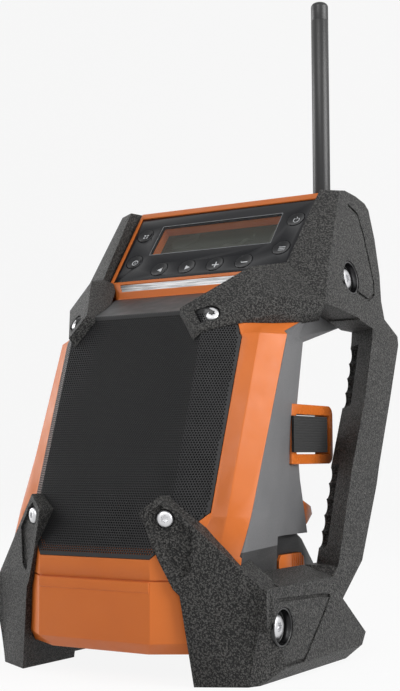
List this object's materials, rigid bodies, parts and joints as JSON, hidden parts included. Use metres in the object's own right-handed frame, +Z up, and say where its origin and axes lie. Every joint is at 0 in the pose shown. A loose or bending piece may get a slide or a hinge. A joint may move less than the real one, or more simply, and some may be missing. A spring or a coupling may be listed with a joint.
{
  "type": "jobsite radio",
  "caption": "Jobsite radio with a leaning perforated grille and display, held in a rubber-armoured cage with side handles, folding antenna and slide-out battery.",
  "frame": {"origin": "on the ground under the middle of the bounding box", "axes": "+Z up, the front faces -Y, +X to the right as seen from the front"},
  "size_m": [0.188, 0.213, 0.4155],
  "materials": {
    "orange_abs": "satin moulded ABS",
    "cage_rubber": "coarse-grained moulded rubber",
    "grille_steel": "black powder-coated perforated steel",
    "acoustic_cloth": "thin black cloth",
    "housing_abs": "matt grey moulded ABS",
    "fascia_black": "gloss black",
    "window_clear": "clear",
    "lcd_frame": "copper orange",
    "lcd_glass": "dark display glass",
    "lens_clear": "clear light guide over white",
    "button_black": "gloss black with pale marks",
    "board_green": "printed circuit board",
    "component_black": "moulded components",
    "baffle_black": "black moulded plastic",
    "basket_steel": "black pressed steel",
    "magnet_ferrite": "ferrite and zinc-plated steel",
    "surround_rubber": "soft rubber roll",
    "cone_paper": "pressed paper pulp",
    "screw_zinc": "bright zinc plate",
    "cup_black": "smooth black plastic",
    "antenna_black": "satin black sleeve",
    "strap_webbing": "black elastic webbing",
    "battery_black": "black moulded plastic",
    "cell_wrap": "shrink-wrapped cells",
    "blade_brass": "tinned brass",
    "cover_rubber": "soft black rubber"
  },
  "bodies": {
    "radio": {"antenna_base": "cup_black", "antenna_pin": "screw_zinc", "arm_screws": "screw_zinc", "audio_socket": "component_black", "board_parts": "component_black", "button_switches": "component_black", "cage_left": "cage_rubber", "cage_right": "cage_rubber", "control_board": "board_green", "device_ledge": "orange_abs", "display_panel": "fascia_black", "display_window": "window_clear", "front_bezel": "orange_abs", "grille_cloth": "acoustic_cloth", "holding_strap": "strap_webbing", "lcd_frame": "lcd_frame", "lcd_module": "lcd_glass", "light_bar_board": "board_green", "light_bar_lens": "lens_clear", "main_board": "board_green", "port_hinge_pin": "screw_zinc", "port_panel": "housing_abs", "rear_housing": "housing_abs", "screw_cups": "cup_black", "side_screws": "screw_zinc", "speaker_baffle": "baffle_black", "speaker_basket": "basket_steel", "speaker_grille": "grille_steel", "speaker_magnet": "magnet_ferrite", "speaker_screws": "screw_zinc", "speaker_surround": "surround_rubber", "strap_loop_left": "orange_abs", "strap_loop_right": "orange_abs", "terminal_blades": "blade_brass", "usb_socket": "screw_zinc"},
    "antenna": {"antenna_rod": "antenna_black", "antenna_cap": "antenna_black"},
    "battery_pack": {"battery_case_upper": "battery_black", "battery_case_lower": "battery_black", "battery_cells": "cell_wrap"},
    "latch_right": {"battery_latch_right": "orange_abs"},
    "latch_left": {"battery_latch_left": "orange_abs"},
    "port_cover": {"port_cover": "cover_rubber"},
    "cone": {"speaker_cone": "cone_paper", "speaker_dust_cap": "cone_paper"},
    "button_power": {"button_power": "button_black"},
    "button_menu": {"button_menu": "button_black"},
    "button_preset": {"button_preset": "button_black"},
    "button_source": {"button_source": "button_black"},
    "button_tune_down": {"button_tune_down": "button_black"},
    "button_tune_up": {"button_tune_up": "button_black"},
    "button_volume_up": {"button_volume_up": "button_black"},
    "button_volume_down": {"button_volume_down": "button_black"}
  },
  "joints": [
    {"name": "antenna_tilt", "type": "hinge", "parent": "radio", "child": "antenna", "pos_m": [0.0629, 0.0587, 0.2834], "axis": [0, -1, 0], "range_deg": [0, 90]},
    {"name": "battery_slide", "type": "slide", "parent": "radio", "child": "battery_pack", "axis": [0, 1, 0], "range_m": [0, 0.045]},
    {"name": "latch_right_press", "type": "slide", "parent": "battery_pack", "child": "latch_right", "axis": [-1, 0, 0], "range_m": [0, 0.0025], "stiffness_N_per_m": 600, "springref_m": -0.001},
    {"name": "latch_left_press", "type": "slide", "parent": "battery_pack", "child": "latch_left", "axis": [1, 0, 0], "range_m": [0, 0.0025], "stiffness_N_per_m": 600, "springref_m": -0.001},
    {"name": "port_cover_open", "type": "hinge", "parent": "radio", "child": "port_cover", "pos_m": [0, 0.01979, 0.15581], "axis": [-1, 0, 0], "range_deg": [0, 120]},
    {"name": "cone_travel", "type": "slide", "parent": "radio", "child": "cone", "axis": [0, -0.9541, 0.2995], "range_m": [-0.0015, 0.0015], "stiffness_N_per_m": 1500},
    {"name": "button_power_press", "type": "slide", "parent": "radio", "child": "button_power", "axis": [0, 0.7804, -0.6253], "range_m": [0, 0.0008], "stiffness_N_per_m": 700, "springref_m": -0.0006},
    {"name": "button_menu_press", "type": "slide", "parent": "radio", "child": "button_menu", "axis": [0, 0.7804, -0.6253], "range_m": [0, 0.0008], "stiffness_N_per_m": 700, "springref_m": -0.0006},
    {"name": "button_preset_press", "type": "slide", "parent": "radio", "child": "button_preset", "axis": [0, 0.7804, -0.6253], "range_m": [0, 0.0008], "stiffness_N_per_m": 700, "springref_m": -0.0006},
    {"name": "button_source_press", "type": "slide", "parent": "radio", "child": "button_source", "axis": [0, 0.7804, -0.6253], "range_m": [0, 0.0008], "stiffness_N_per_m": 700, "springref_m": -0.0006},
    {"name": "button_tune_down_press", "type": "slide", "parent": "radio", "child": "button_tune_down", "axis": [0, 0.7804, -0.6253], "range_m": [0, 0.0008], "stiffness_N_per_m": 700, "springref_m": -0.0006},
    {"name": "button_tune_up_press", "type": "slide", "parent": "radio", "child": "button_tune_up", "axis": [0, 0.7804, -0.6253], "range_m": [0, 0.0008], "stiffness_N_per_m": 700, "springref_m": -0.0006},
    {"name": "button_volume_up_press", "type": "slide", "parent": "radio", "child": "button_volume_up", "axis": [0, 0.7804, -0.6253], "range_m": [0, 0.0008], "stiffness_N_per_m": 700, "springref_m": -0.0006},
    {"name": "button_volume_down_press", "type": "slide", "parent": "radio", "child": "button_volume_down", "axis": [0, 0.7804, -0.6253], "range_m": [0, 0.0008], "stiffness_N_per_m": 700, "springref_m": -0.0006}
  ]
}
